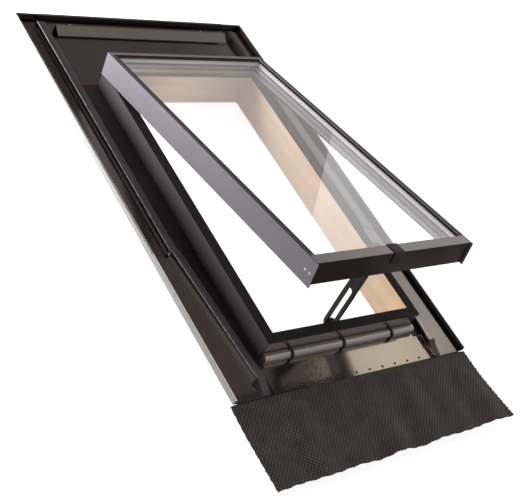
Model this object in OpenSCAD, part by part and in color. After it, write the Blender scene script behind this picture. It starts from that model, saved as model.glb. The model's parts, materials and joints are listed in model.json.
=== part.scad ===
// Top-hung roof skylight with its wooden frame, folded flashing and apron.
// The roof plane lies flat: +X is to the right seen from the eaves, +Y is up the slope, +Z is out of the roof.
// The origin is under the middle of the whole part, on the underside of the wooden frame.

/* [Wooden frame] */
// Outer width of the frame
frame_w = 450; // [400:1:600]
// Outer length of the frame, up the slope
frame_len = 786; // [720:1:1000]
// Depth of the boards below the roof plane
frame_below = 38; // [30:1:90]
// Height of the boards above the roof plane
frame_above = 49; // [46:1:60]
// Thickness of the boards
board_t = 22; // [21:0.5:28]
// Chamfer along the inner edges of the boards
board_chamfer = 2; // [1:0.5:4]
// Thickness of the rubber gasket on the boards
gasket_t = 3; // [2:0.5:5]
// Radius of the corner screws
corner_screw_r = 2; // [1.5:0.1:3]
// Length of the corner screws
corner_screw_len = 55; // [45:1:80]

/* [Flashing] */
// Thickness of the folded sheet
sheet_t = 1; // [0.7:0.1:1.3]
// Reach of the flashing beside the frame
side_reach = 120; // [108:1:180]
// Reach of the flashing above the frame
head_reach = 234; // [200:1:300]
// Reach of the sill plate below the frame
sill_reach = 88; // [80:1:120]
// Height of the upturned outer hem
hem_h = 12; // [8:0.5:14]
// Width of the lip folded in at the top of the hem
hem_lip = 6; // [3:0.5:10]
// Height of the raised rib
rib_h = 14; // [10:0.5:18]
// Width of the rib at its foot
rib_foot = 26; // [23:0.5:30]
// Width of the flat top of the rib
rib_flat = 19; // [14:0.5:21]
// From the frame to the middle of the upper rib
rib_off = 64; // [58:1:75]
// From the top edge of the flashing down to the upper end of the rib
rib_from_top = 30; // [24:1:36]
// From the frame to the middle of the lower rib, at its lower end
rib_off_low = 33; // [31:1:45]
// From the lower face of the frame down to the end of the rib
rib_run = 50; // [42:1:60]
// From the head of the frame down to the joint of the two side lengths
joint_from_head = 505; // [400:1:560]
// Overlap of one side length on the next
lap = 40; // [25:1:60]

/* [Head bar] */
// Height of the bar above the sheet
bar_h = 18; // [10:0.5:24]
// Depth of the bar up the slope
bar_d = 26; // [18:0.5:34]
// Height of the open slit under the bar's front lip
bar_slit = 2; // [1:0.5:4]
// From the top edge of the flashing to the back of the bar
bar_from_top = 44; // [38:1:60]
// From the rib to the end of the bar
bar_clear = 18; // [6:1:30]
// Radius of the nail holes above the bar
nail_r = 1.6; // [1.2:0.1:3]
// Spacing of the nail holes
nail_spacing = 400; // [300:5:480]

/* [Sill and apron] */
// Height and depth of the rounded bead at the foot of the sill upstand
bead = 18; // [12:0.5:22]
// Width of one sill clip
clip_w = 8; // [6:0.5:12]
// Wall of one sill clip
clip_wall = 2; // [1.5:0.5:3]
// Spacing of the sill clips
clip_spacing = 150; // [100:5:180]
// Height of the turned-up ends of the sill plate
sill_turn = 8; // [5:0.5:12]
// Length of the apron below the sill plate
apron_len = 189; // [140:1:260]
// How far the apron reaches past the side flashing
apron_over = 6; // [0:1:30]
// Thickness of the apron
apron_t = 2; // [1.5:0.5:4]
// Width of the apron tucked under the sill plate
apron_tuck = 40; // [25:1:50]
// Spacing of the apron rivets
apron_pitch = 40; // [30:1:60]
// Radius of the apron rivets
apron_rivet_r = 1.6; // [1.2:0.1:2.5]

/* [Sash] */
// Height of the side rails
sash_h = 55.5; // [47:0.5:70]
// Wall of the rails
rail_wall = 2; // [1.5:0.1:2.5]
// Depth of the rails, inwards from their outer face
rail_d = 23; // [21:0.5:23.5]
// Width of the top flange on the side and head rails
flange_w = 11; // [8:0.5:14]
// Width of the top flange on the front rail
front_flange_w = 26; // [16:0.5:32]
// Gap between the flashing upstand and the side rails
skirt_gap = 2; // [1:0.5:4]
// How far the side rails reach below the top of the frame
skirt_lap = 10; // [6:0.5:14]
// How far the face of the front rail reaches below the top of the frame
front_lap = 6.5; // [3:0.5:10]
// How far the sash reaches past the head of the frame
head_over = 4; // [3.5:0.5:6]
// How far the sash reaches past the lower face of the frame
front_over = 13; // [10:0.5:14]
// How far the side rails run past the front rail
front_set = 5; // [3:0.5:8]
// Gap between the sash seal and the frame gasket when shut
seal_gap = 0.3; // [0.2:0.1:1]

/* [Glass] */
// Thickness of the outer pane
outer_pane_t = 4; // [3:0.5:5]
// Thickness of the inner pane
inner_pane_t = 3; // [3:0.5:5]
// Gap between the panes, as a share of the height of the side rails
pane_gap_share = 0.18; // [0.16:0.005:0.2]
// Distance from the outer face of the rails to the edge of the glass
pane_edge = 6; // [5:0.5:8]
// Thickness of the bedding tape under the glass
tape_t = 1.5; // [1:0.5:2.5]
// Thickness of the glazing gasket on the glass
glazing_t = 2.5; // [1.5:0.5:3]
// Width of the glazing gasket that shows beside the flange
glazing_show = 7; // [4:0.5:10]
// Width of the spacer bar between the panes
spacer_w = 6; // [4:0.5:7]
// Width of the edge seal round the spacer bar
edge_seal_w = 4; // [3:0.5:5]
// Length of one setting block
block_len = 50; // [30:1:80]
// Width of the glass clip
glass_clip_w = 28; // [20:1:50]
// Drop of the glass clip down the front face
glass_clip_drop = 26; // [10:1:34]
// Wall of the glass clip
glass_clip_t = 2; // [1.5:0.5:3]

/* [Hinges] */
// Distance of each hinge from the side of the frame
hinge_from_side = 75; // [62:1:100]
// Distance of the hinge axis from the head face of the frame
hinge_inset = 8; // [7:0.5:9]
// Thickness of the hinge leaves
leaf_t = 1.5; // [1:0.1:2]
// Outer radius of the hinge knuckles
knuckle_r = 4.5; // [4:0.1:5]
// Radius of the hinge pins
pin_r = 2.5; // [2:0.1:3]
// Length of the knuckle stack
knuckle_len = 48; // [40:1:60]

/* [Stay] */
// Opening of the sash in degrees
open_angle = 13; // [9:0.5:14]
// Thickness of the stay arm
stay_t = 8; // [7:0.5:10]
// Width of the looped end of the arm
loop_w = 31; // [28:0.5:36]
// Width of the upper part of the arm
arm_w = 30; // [26:1:32]
// Width of the slot
slot_w = 15.5; // [14.5:0.5:18]
// Length of the slot that goes right through the arm
slot_len = 113; // [80:1:130]
// Wall left behind the guide groove above the slot
groove_web = 3.4; // [2:0.2:4]
// Radius of the peg that runs in the slot
peg_r = 7; // [5.5:0.1:7.1]
// Distance of the peg from the sill board
peg_in = 22; // [21:1:32]
// Depth of the peg below the top of the frame
peg_drop = 39; // [30:1:50]
// Height of the stay pivot above the peg when the sash is shut
pivot_rise = 45; // [40:1:52]
// Radius of the stay pivot pin
pivot_r = 3; // [2.5:0.1:4]
// Radius of the eye that carries the peg
eye_r = 9; // [8:0.5:9.5]
// Wall of the stay bracket and of the keeper
bracket_t = 3; // [2:0.5:4]
// Side play of the arm in its bracket
side_play = 0.4; // [0.3:0.1:0.8]

/* [Hidden] */
$fn = 48;

// Clearances: a fixed shank in its hole, a running pin in its eye, and an overcut past a face
fixed_gap = 0.05;
run_gap = 0.06;
over = 0.5;

// Heights: roof plane, top of the boards, top of the gasket
z_roof = frame_below;
z_wood = z_roof + frame_above;
z_top = z_wood + gasket_t;

// Lines up the slope, from the top edge of the flashing to the lower edge of the apron
overall_len = head_reach + frame_len + sill_reach + apron_len;
y_top = overall_len / 2;
y_head = y_top - head_reach;
y_sill = y_head - frame_len;
y_plate = y_sill - sill_reach;
y_end = y_plate - apron_len;
y_head_in = y_head - board_t;
y_sill_in = y_sill + board_t;
y_joint = y_head - joint_from_head;
y_rib_end = y_sill - rib_run;
y_rib_top = y_top - rib_from_top;
y_channel_end = y_sill - bead - clip_wall - 6;

// Lines across the roof, right-hand side
x_frame = frame_w / 2;
x_in = x_frame - board_t;
x_edge = x_frame + side_reach;
x_apron = x_edge + apron_over;
x_tuck = x_edge - hem_h;
x_rib = x_frame + rib_off;
x_rib_start = x_rib - 5;
x_rib_low = x_frame + rib_off_low;
x_sill = x_rib_low - rib_foot / 2 - 2;
x_head = x_rib - rib_foot / 2;

// Sheet layers, each lapping over the one below it
SILL_LAYER = z_roof;
LOWER_LAYER = z_roof + sheet_t;
UPPER_LAYER = z_roof + 2 * sheet_t;
HEAD_LAYER = z_roof + 3 * sheet_t;

// Sash, drawn shut and then swung open about the hinge axis
x_sash = x_frame + sheet_t + skirt_gap + rail_wall;
y_sash_head = y_head + head_over;
y_sash_end = y_sill - front_over;
y_front = y_sash_end + front_set;
z_sash = z_top - skirt_lap;
pane_gap = pane_gap_share * sash_h;
pane_top = sash_h - rail_wall - glazing_t;
cavity_top = pane_top - outer_pane_t;
cavity_low = cavity_top - pane_gap;
pane_low = cavity_low - inner_pane_t;
ledge_top = pane_low - tape_t;
ledge_low = ledge_top - rail_wall;
// Hollow under the glass: the head rail's face and all inner webs stop short of the frame, and the front face hangs past it
hollow = ledge_low - skirt_lap;
web_low = skirt_lap + 0.27 * hollow;
front_low = skirt_lap - front_lap;
seal_h = 0.135 * hollow;
web_foot = skirt_lap + seal_gap + seal_h;
web_t = 1.5;
seal_w = 3.5;
rivet_r = 1.6;
rivet_head_r = 3;
rivet_head_h = 1.2;
cleat_t = 2;
cleat_leg = 32;
cleat_cross = rail_d - web_t - rail_wall - 1;
cleat_low = web_low + 0.1 * hollow;
cleat_h = 0.58 * hollow;
rivet_v = ledge_low - 0.2 * hollow;
first_rivet = front_set + rail_wall + cleat_t + 3;
rivet_places = [first_rivet, first_rivet + 14];

// Hinge axis
hinge_x = x_frame - hinge_from_side;
hinge_y = y_head - hinge_inset;
hinge_z = z_wood + leaf_t + knuckle_r;
middle_knuckle = knuckle_len / 3;
knuckle_gap = 0.3;
hinge_plate_len = knuckle_len + 20;
hinge_screw_r = 1.8;
hinge_notch_y = hinge_y - knuckle_r - 4.5;
leaf_rivet_off = 14;
leaf_low = hinge_z + knuckle_r - leaf_t - z_sash;
leaf_top = ledge_low - 1;
leaf_rivet_v = (leaf_low + leaf_top) / 2;

// Stay: peg on the frame, pivot on the sash when shut and when open, and the lean of the arm
peg_y = y_sill_in + peg_in;
peg_z = z_top - peg_drop;
pivot_y = peg_y;
pivot_z = peg_z + pivot_rise;
open_y = hinge_y + cos(open_angle) * (pivot_y - hinge_y) + sin(open_angle) * (pivot_z - hinge_z);
open_z = hinge_z - sin(open_angle) * (pivot_y - hinge_y) + cos(open_angle) * (pivot_z - hinge_z);
stay_reach = norm([open_y - peg_y, open_z - peg_z]);
stay_lean = atan2(open_y - peg_y, open_z - peg_z);
slot_high = stay_reach - slot_len + slot_w;
pivot_room = z_sash + pane_low - pivot_z;
arm_eye_r = pivot_room - 2;
cheek_eye_r = pivot_room / 2;
cheek_x = stay_t / 2 + side_play;
ear_x = stay_t / 2 + 1;
keeper_w = 30;
keeper_screw_r = 1.8;
keeper_screw_places = [ear_x + 11, ear_x + 23];
bracket_half = 18;
bracket_rivet_x = 13;
bracket_low = web_foot + 0.15 * hollow;
bracket_h = ledge_low - bracket_low - 1;

// Colours
PINE = [0.86, 0.72, 0.56];
SHEET = [0.22, 0.20, 0.19];
RAIL = [0.36, 0.34, 0.36];
RUBBER = [0.06, 0.06, 0.06];
STEEL = [0.70, 0.70, 0.70];
BLACK = [0.09, 0.09, 0.09];
GLASS = [0.80, 0.88, 0.88, 0.4];

// Runs a section drawn in X and Z along Y
module run_y(y0, y1) {
    translate([0, y1, 0]) rotate([90, 0, 0]) linear_extrude(y1 - y0) children();
}

// Runs a section drawn in Y and Z along X
module run_x(x0, x1) {
    translate([x0, 0, 0]) rotate([90, 0, 90]) linear_extrude(x1 - x0) children();
}

// A round bar along +X, +Y or -Z from the current place
module bar_x(r, len) { rotate([0, 90, 0]) cylinder(r = r, h = len); }
module bar_y(r, len) { rotate([-90, 0, 0]) cylinder(r = r, h = len); }
module bar_down(r, len) { translate([0, 0, -len]) cylinder(r = r, h = len); }

// Draws the right-hand piece, or its mirror image on the left
module on_side(side) {
    if (side > 0) children();
    else mirror([1, 0, 0]) children();
}

// Swings what is drawn shut to the open pose
module opened() {
    translate([0, hinge_y, hinge_z]) rotate([-open_angle, 0, 0]) translate([0, -hinge_y, -hinge_z]) children();
}

// Wooden frame

module corner_screw_places() {
    for (y = [y_sill + board_t / 2, y_head - board_t / 2])
        for (z = [z_wood * 0.28, z_wood * 0.72])
            translate([x_frame, y, z]) children();
}

module corner_screw(gap) {
    translate([-corner_screw_len, 0, 0]) bar_x(corner_screw_r + gap, corner_screw_len);
    translate([-corner_screw_r, 0, 0]) bar_x(2 * corner_screw_r + gap, corner_screw_r + gap);
}

module side_board(side) {
    on_side(side) color(PINE) difference() {
        run_y(y_sill, y_head) polygon([
            [x_in + board_chamfer, 0], [x_frame, 0], [x_frame, z_wood], [x_in, z_wood], [x_in, board_chamfer]]);
        corner_screw_places() corner_screw(fixed_gap);
    }
}

// A head or sill board: its outer face at y_out, thickening inwards
module end_board(y_out, inwards) {
    y_in = y_out + inwards * board_t;
    color(PINE) difference() {
        run_x(-x_in, x_in) polygon([
            [y_out, 0], [y_in - inwards * board_chamfer, 0], [y_in, board_chamfer], [y_in, z_wood], [y_out, z_wood]]);
        for (side = [-1, 1]) on_side(side) corner_screw_places() corner_screw(fixed_gap);
        hinge_screw_bores();
        keeper_screw_bores();
    }
}

module frame_left() { side_board(-1); }
module frame_right() { side_board(1); }
module frame_head() { end_board(y_head, -1); }
module frame_sill() { end_board(y_sill, 1); }

module frame_screws() {
    color(STEEL) for (side = [-1, 1]) on_side(side) corner_screw_places() corner_screw(0);
}

// Rubber ring on the boards, cut back where the hinge leaves lie
module frame_gasket() {
    notch = hinge_plate_len + 4;
    color(RUBBER) translate([0, 0, z_wood]) linear_extrude(gasket_t) difference() {
        translate([-x_frame - sheet_t, y_sill - sheet_t])
            square([frame_w + 2 * sheet_t, frame_len + 2 * sheet_t]);
        translate([-x_in, y_sill_in]) square([2 * x_in, frame_len - 2 * board_t]);
        for (side = [-1, 1]) translate([side * hinge_x - notch / 2, hinge_notch_y]) square([notch, board_t]);
    }
}

// Flashing

// Folded rib, open below, with its middle at x = 0
module rib_section() {
    lean = (rib_foot - rib_flat) / 2 / rib_h;
    leg = sheet_t * sqrt(1 + lean * lean);
    inner_foot = rib_foot / 2 - leg;
    inner_flat = rib_flat / 2 + lean * sheet_t - leg;
    difference() {
        rib_outline();
        polygon([[-inner_foot, -over], [-inner_foot, 0], [-inner_flat, rib_h - sheet_t],
            [inner_flat, rib_h - sheet_t], [inner_foot, 0], [inner_foot, -over]]);
    }
}

module rib_outline() {
    polygon([[-rib_foot / 2, 0], [rib_foot / 2, 0], [rib_flat / 2, rib_h], [-rib_flat / 2, rib_h]]);
}

// Upturned outer hem with its lip folded in
module hem_section() {
    translate([x_edge - sheet_t, 0]) square([sheet_t, hem_h]);
    translate([x_edge - hem_lip, hem_h - sheet_t]) square([hem_lip, sheet_t]);
}

// A hem along the top edge between two lines across the roof
module top_hem(x0, x1) {
    translate([x0, y_top - sheet_t, 0]) cube([x1 - x0, sheet_t, hem_h]);
    translate([x0, y_top - hem_lip, hem_h - sheet_t]) cube([x1 - x0, hem_lip, sheet_t]);
}

module side_flashing_upper(side) {
    foot_in = x_rib - rib_foot / 2;
    foot_out = x_rib + rib_foot / 2;
    on_side(side) color(SHEET) translate([0, 0, UPPER_LAYER]) {
        run_y(y_joint, y_top) {
            hem_section();
            translate([foot_out - sheet_t, 0]) square([x_edge - foot_out + sheet_t, sheet_t]);
            translate([x_frame, 0]) square([foot_in - x_frame + sheet_t, sheet_t]);
        }
        run_y(y_joint, y_rib_top) translate([x_rib, 0]) rib_section();
        run_y(y_joint, y_joint + sheet_t) translate([x_rib, 0]) rib_outline();
        run_y(y_rib_top - sheet_t, y_rib_top) translate([x_rib, 0]) rib_outline();
        run_y(y_rib_top - sheet_t, y_top) translate([foot_in, 0]) square([rib_foot, sheet_t]);
        run_y(y_joint, y_head) translate([x_frame, 0]) square([sheet_t, z_wood - UPPER_LAYER]);
        top_hem(foot_in, x_edge);
    }
}

// The lower length: its rib runs in towards the frame, and its flat parts reach up under the upper length
module side_flashing_lower(side) {
    run = [x_rib_low - x_rib_start, y_rib_end - y_joint];
    turn = atan2(run[0], -run[1]);
    half = rib_foot / 2;
    inner = half - sheet_t;
    channel_x = x_rib_low + (x_rib_start - x_rib_low) * (y_channel_end - y_rib_end) / (y_joint - y_rib_end);
    on_side(side) color(SHEET) translate([0, 0, LOWER_LAYER]) {
        linear_extrude(sheet_t) polygon([
            [x_edge, y_joint + lap], [x_edge, y_plate], [x_sill + 2, y_plate], [x_sill + 2, y_rib_end],
            [x_rib_low + inner, y_rib_end], [x_rib_start + inner, y_joint], [x_rib_start + inner, y_joint + lap]]);
        linear_extrude(sheet_t) polygon([
            [x_frame, y_joint + lap], [x_rib_start - inner, y_joint + lap], [x_rib_start - inner, y_joint],
            [channel_x - inner, y_channel_end], [x_frame, y_channel_end]]);
        run_y(y_plate, y_joint) hem_section();
        run_y(y_sill, y_joint) translate([x_frame, 0]) square([sheet_t, z_wood - LOWER_LAYER]);
        translate([x_rib_start, y_joint, 0]) rotate([0, 0, turn]) {
            run_y(-norm(run), -half * abs(tan(turn)) - 0.3) rib_section();
            translate([0, -norm(run), 0]) run_y(0, sheet_t) rib_outline();
        }
    }
}

module left_flashing_upper() { side_flashing_upper(-1); }
module right_flashing_upper() { side_flashing_upper(1); }
module left_flashing_lower() { side_flashing_lower(-1); }
module right_flashing_lower() { side_flashing_lower(1); }

// The head sheet lies between the ribs, with an upstand at the frame and nail holes above the bar
module head_flashing() {
    color(SHEET) translate([0, 0, HEAD_LAYER]) {
        difference() {
            translate([-x_head, y_head, 0]) cube([2 * x_head, y_top - y_head, sheet_t]);
            for (side = [-1, 1]) translate([side * nail_spacing / 2, y_top - bar_from_top / 2, -over])
                cylinder(r = nail_r, h = sheet_t + 2 * over);
        }
        translate([-x_frame, y_head, 0]) cube([frame_w, sheet_t, z_wood - HEAD_LAYER]);
        top_hem(-x_head, x_head);
    }
}

// A folded strip: foot, upright back, sloping front and a short lip over an open slit
module head_bar() {
    back = y_top - bar_from_top;
    front = back - bar_d;
    foot = bar_from_top / 4;
    lip = 3;
    reach = x_head - bar_clear;
    color(RAIL) translate([0, 0, HEAD_LAYER + sheet_t]) run_x(-reach, reach) polygon([
        [back + foot, 0], [back + foot, sheet_t], [back, sheet_t], [back, bar_h], [back - 3 * sheet_t, bar_h],
        [front, bar_slit + lip], [front, bar_slit], [front + sheet_t, bar_slit],
        [front + sheet_t, bar_slit + lip - sheet_t / 2], [back - 2.5 * sheet_t, bar_h - sheet_t],
        [back - sheet_t, bar_h - sheet_t], [back - sheet_t, 0]]);
}

// Sill plate with its upstand and turned-up ends, drilled for the apron rivets
module sill_flashing() {
    color(SHEET) translate([0, 0, SILL_LAYER]) {
        difference() {
            translate([-x_sill, y_plate, 0]) cube([2 * x_sill, y_sill - y_plate + lap, sheet_t]);
            translate([-x_frame, y_sill, -over]) cube([frame_w, lap + over, sheet_t + 2 * over]);
            apron_rivet_places() translate([0, 0, -over])
                cylinder(r = apron_rivet_r + fixed_gap, h = sheet_t + 2 * over);
        }
        translate([-x_frame, y_sill - sheet_t, 0]) cube([frame_w, sheet_t, z_wood - SILL_LAYER]);
        for (side = [-1, 1]) on_side(side) translate([x_sill - sheet_t, y_plate, 0])
            cube([sheet_t, y_channel_end - y_plate - sheet_t, sill_turn]);
    }
}

// Section of the bead in the corner of upstand and plate: one roll, with a fine groove along it
module bead_section(gap) {
    roll_r = bead * 0.61;
    middle = bead - roll_r;
    difference() {
        intersection() {
            translate([-middle, middle]) circle(roll_r + gap);
            translate([-bead - gap, 0]) square(bead + gap);
        }
        translate([-middle - roll_r * cos(45), middle + roll_r * sin(45)]) circle(bead * 0.05 - gap);
    }
}

module at_bead() {
    translate([0, y_sill - sheet_t, SILL_LAYER + sheet_t]) children();
}

module sill_bead() {
    color(SHEET) at_bead() run_x(-x_frame + sheet_t, x_frame - sheet_t) bead_section(0);
}

// Black clips that wrap the bead
module sill_clips() {
    outer = bead + clip_wall;
    color(BLACK) at_bead() for (k = [-1:1])
        run_x(k * clip_spacing - clip_w / 2, k * clip_spacing + clip_w / 2) difference() {
            union() {
                translate([-outer / 2, outer / 2]) circle(outer / 2);
                translate([-outer, 0]) square([outer, outer / 2]);
                translate([-outer / 2, 0]) square([outer / 2, outer]);
            }
            bead_section(0.2);
        }
}

module apron_rivet_places() {
    count = floor((x_sill - sheet_t - 6) / apron_pitch);
    for (k = [-count:count]) translate([k * apron_pitch, y_plate + 7, 0]) children();
}

module apron() {
    color(BLACK) translate([0, 0, z_roof - apron_t]) difference() {
        linear_extrude(apron_t) union() {
            translate([-x_apron, y_end]) square([2 * x_apron, apron_len]);
            translate([-x_tuck, y_end]) square([2 * x_tuck, apron_len + apron_tuck]);
        }
        apron_rivet_places() translate([0, 0, -over])
            cylinder(r = apron_rivet_r + fixed_gap, h = apron_t + 2 * over);
    }
}

module apron_rivets() {
    head_r = 1.8 * apron_rivet_r;
    head_h = 0.6;
    grip = apron_t + sheet_t;
    color(BLACK) apron_rivet_places() translate([0, 0, z_roof - apron_t]) {
        cylinder(r = apron_rivet_r, h = grip);
        translate([0, 0, grip]) cylinder(r = head_r, h = head_h);
    }
}

// Hinges

module each_hinge() {
    for (side = [-1, 1]) translate([side * hinge_x, hinge_y, hinge_z]) children();
}

module hinge_screw_places() {
    for (end = [-1, 1]) translate([end * (knuckle_len / 2 + 5), 0, -knuckle_r]) children();
}

module hinge_screw_bores() {
    each_hinge() hinge_screw_places() translate([0, 0, over]) bar_down(hinge_screw_r + fixed_gap, board_t + over);
}

// Leaf on the head board with the two outer knuckles
module hinge_frame_leaves() {
    plate_y = 2 * min(hinge_inset - 0.5, hinge_y - hinge_notch_y - 0.5);
    outer = (knuckle_len - middle_knuckle) / 2 - knuckle_gap;
    color(STEEL) each_hinge() difference() {
        union() {
            translate([-hinge_plate_len / 2, -plate_y / 2, -knuckle_r - leaf_t])
                cube([hinge_plate_len, plate_y, leaf_t]);
            for (x = [-knuckle_len / 2, knuckle_len / 2 - outer]) translate([x, 0, 0]) {
                bar_x(knuckle_r, outer);
                translate([0, -knuckle_r * 0.7, -knuckle_r - leaf_t]) cube([outer, knuckle_r * 1.4, knuckle_r]);
            }
        }
        translate([-knuckle_len, 0, 0]) bar_x(pin_r + fixed_gap, 2 * knuckle_len);
        hinge_screw_places() translate([0, 0, over]) bar_down(hinge_screw_r + fixed_gap, leaf_t + 2 * over);
    }
}

module hinge_screws() {
    head_h = 1.6;
    color(STEEL) each_hinge() hinge_screw_places() {
        bar_down(hinge_screw_r, board_t);
        cylinder(r = 1.9 * hinge_screw_r, h = head_h);
    }
}

module hinge_pins() {
    head_h = 1.2;
    head_r = pin_r + 1;
    color(STEEL) each_hinge() {
        translate([-knuckle_len / 2, 0, 0]) bar_x(pin_r, knuckle_len);
        for (x = [-knuckle_len / 2 - head_h, knuckle_len / 2]) translate([x, 0, 0]) bar_x(head_r, head_h);
    }
}

// Middle knuckle, a bridge over it and the leaf riveted inside the head rail
module hinge_sash_leaves() {
    leaf_y = y_sash_head - rail_wall - hinge_y;
    low = z_sash + leaf_low - hinge_z;
    leaf_len = knuckle_len - 8;
    color(STEEL) opened() each_hinge() difference() {
        union() {
            translate([-middle_knuckle / 2, 0, 0]) bar_x(knuckle_r, middle_knuckle);
            translate([-middle_knuckle / 2, 0, low]) cube([middle_knuckle, leaf_y, leaf_t]);
            translate([-leaf_len / 2, leaf_y - leaf_t, low]) cube([leaf_len, leaf_t, leaf_top - leaf_low]);
        }
        translate([-knuckle_len, 0, 0]) bar_x(pin_r + run_gap, 2 * knuckle_len);
        leaf_rivet_places() translate([0, -leaf_t - over, 0]) bar_y(rivet_r + fixed_gap, leaf_t + 2 * over);
    }
}

// Places of the leaf rivets, on the inner face of the head rail, seen from the hinge axis
module leaf_rivet_places() {
    for (end = [-1, 1])
        translate([end * leaf_rivet_off, y_sash_head - rail_wall - hinge_y, z_sash + leaf_rivet_v - hinge_z]) children();
}

// A domed rivet along +Y: its grip starts at y = 0
module rivet(grip) {
    tail_r = 2.3;
    tail_h = 0.8;
    bar_y(rivet_r, grip);
    translate([0, -tail_h, 0]) bar_y(tail_r, tail_h);
    translate([0, grip, 0]) rotate([-90, 0, 0]) rotate_extrude() intersection() {
        translate([0, rivet_head_h - dome_r()]) circle(dome_r());
        square([rivet_head_r, rivet_head_h]);
    }
}

function dome_r() = (rivet_head_r * rivet_head_r + rivet_head_h * rivet_head_h) / (2 * rivet_head_h);

module hinge_rivets() {
    color(STEEL) opened() each_hinge() leaf_rivet_places() translate([0, -leaf_t, 0]) rivet(leaf_t + rail_wall);
}

// Sash rails

// Rail section: u inwards from the outer face, v up from the lower edge of the side rails
module rail_section(low, flange) {
    polygon([
        [0, low], [rail_wall, low], [rail_wall, ledge_low], [rail_d - web_t, ledge_low],
        [rail_d - web_t, web_foot], [rail_d, web_foot], [rail_d, ledge_top], [rail_wall, ledge_top],
        [rail_wall, sash_h - rail_wall], [flange, sash_h - rail_wall], [flange, sash_h], [0, sash_h]]);
}

// Side rail: outer web at full length, its flange and ledge cut back for the head and front rails
module side_rail(side) {
    y_inner_head = y_sash_head - rail_wall;
    y_inner_front = y_front + rail_wall;
    on_side(side) color(RAIL) opened() difference() {
        translate([x_sash, 0, z_sash]) mirror([1, 0, 0]) run_y(y_sash_end, y_sash_head) rail_section(0, flange_w);
        translate([x_sash - rail_d - over, y_sash_head - flange_w, z_sash + pane_top])
            cube([rail_d + over - rail_wall, flange_w + over, sash_h]);
        translate([x_sash - rail_d - over, y_sash_end - over, z_sash + pane_top])
            cube([rail_d + over - rail_wall, front_set + front_flange_w + over, sash_h]);
        translate([x_sash - rail_d - over, y_inner_head, z_sash])
            cube([rail_d + over - rail_wall, rail_wall + over, sash_h]);
        translate([x_sash - rail_d - over, y_sash_end - over, z_sash])
            cube([rail_d + over - rail_wall, y_inner_front - y_sash_end + over, sash_h]);
        cleat_rivet_places() translate([-over, 0, 0]) bar_x(rivet_r + fixed_gap, rail_wall + 2 * over);
    }
}

// Head or front rail between the side webs, drawn with its outer face at y = 0 and its depth along +Y
module end_rail(low, flange) {
    x_web = x_sash - rail_wall;
    x_ledge = x_sash - rail_d;
    difference() {
        translate([0, 0, z_sash]) run_x(-x_web, x_web) rail_section(low, flange);
        for (side = [-1, 1]) on_side(side) translate([x_ledge, rail_wall, z_sash])
            cube([rail_d, rail_d, sash_h - rail_wall - glazing_t]);
    }
}

module sash_left_rail() { side_rail(-1); }
module sash_right_rail() { side_rail(1); }

module sash_head_rail() {
    color(RAIL) opened() difference() {
        translate([0, y_sash_head, 0]) mirror([0, 1, 0]) end_rail(web_low, flange_w);
        each_hinge() leaf_rivet_places() translate([0, -over, 0]) bar_y(rivet_r + fixed_gap, rail_wall + 2 * over);
    }
}

module sash_front_rail() {
    color(RAIL) opened() difference() {
        translate([0, y_front, 0]) end_rail(front_low, front_flange_w);
        bracket_rivet_places() translate([0, -web_t - over, 0])
            bar_y(rivet_r + fixed_gap, web_t + 2 * over);
    }
}

// Places of the cleat rivets on the inner face of the right-hand side rail, near the front
module cleat_rivet_places() {
    for (place = rivet_places) translate([x_sash - rail_wall, y_sash_end + place, z_sash + rivet_v]) children();
}

// Angle cleats inside the four corners
module corner_cleats() {
    x_face = x_sash - rail_wall;
    color(STEEL) opened() for (side = [-1, 1]) on_side(side) {
        difference() {
            translate([0, 0, z_sash + cleat_low]) linear_extrude(cleat_h) union() {
                translate([x_face - cleat_t, y_front + rail_wall]) square([cleat_t, cleat_leg]);
                translate([x_face - cleat_cross, y_front + rail_wall]) square([cleat_cross, cleat_t]);
            }
            cleat_rivet_places() translate([-cleat_t - over, 0, 0])
                bar_x(rivet_r + fixed_gap, cleat_t + 2 * over);
        }
        translate([0, 0, z_sash + cleat_low]) linear_extrude(cleat_h) union() {
            translate([x_face - cleat_t, y_sash_head - rail_wall - cleat_leg]) square([cleat_t, cleat_leg]);
            translate([x_face - cleat_cross, y_sash_head - rail_wall - cleat_t]) square([cleat_cross, cleat_t]);
        }
    }
}

module sash_rivets() {
    color(STEEL) opened() for (side = [-1, 1]) on_side(side) cleat_rivet_places()
        translate([-cleat_t, 0, 0]) rotate([0, 0, -90]) rivet(rail_wall + cleat_t);
}

// Glass and seals

// A flat ring set in from the rails: u_out and u_in from the outer faces, front_in for the front side
module rail_ring(u_out, u_in, front_in) {
    difference() {
        translate([-x_sash + u_out, y_front + u_out])
            square([2 * (x_sash - u_out), y_sash_head - y_front - 2 * u_out]);
        translate([-x_sash + u_in, y_front + front_in])
            square([2 * (x_sash - u_in), y_sash_head - y_front - u_in - front_in]);
    }
}

module sash_layer(low, high) {
    opened() translate([0, 0, z_sash + low]) linear_extrude(high - low) children();
}

module pane_outline() {
    translate([-x_sash + pane_edge, y_front + pane_edge])
        square([2 * (x_sash - pane_edge), y_sash_head - y_front - 2 * pane_edge]);
}

module outer_pane() { color(GLASS) sash_layer(cavity_top, pane_top) pane_outline(); }
module inner_pane() { color(GLASS) sash_layer(pane_low, cavity_low) pane_outline(); }

module edge_seal() {
    inner = pane_edge + edge_seal_w;
    color(RUBBER) sash_layer(cavity_low, cavity_top) rail_ring(pane_edge, inner, inner);
}

module spacer_bar() {
    outer = pane_edge + edge_seal_w;
    color(STEEL) sash_layer(cavity_low, cavity_top) rail_ring(outer, outer + spacer_w, outer + spacer_w);
}

module glazing_gasket() {
    color(RUBBER) sash_layer(pane_top, pane_top + glazing_t)
        rail_ring(rail_wall, flange_w + glazing_show, front_flange_w + 0.25 * glazing_show);
}

module bedding_tape() {
    color(RUBBER) sash_layer(ledge_top, pane_low) rail_ring(pane_edge, rail_d - 2, rail_d - 2);
}

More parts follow.
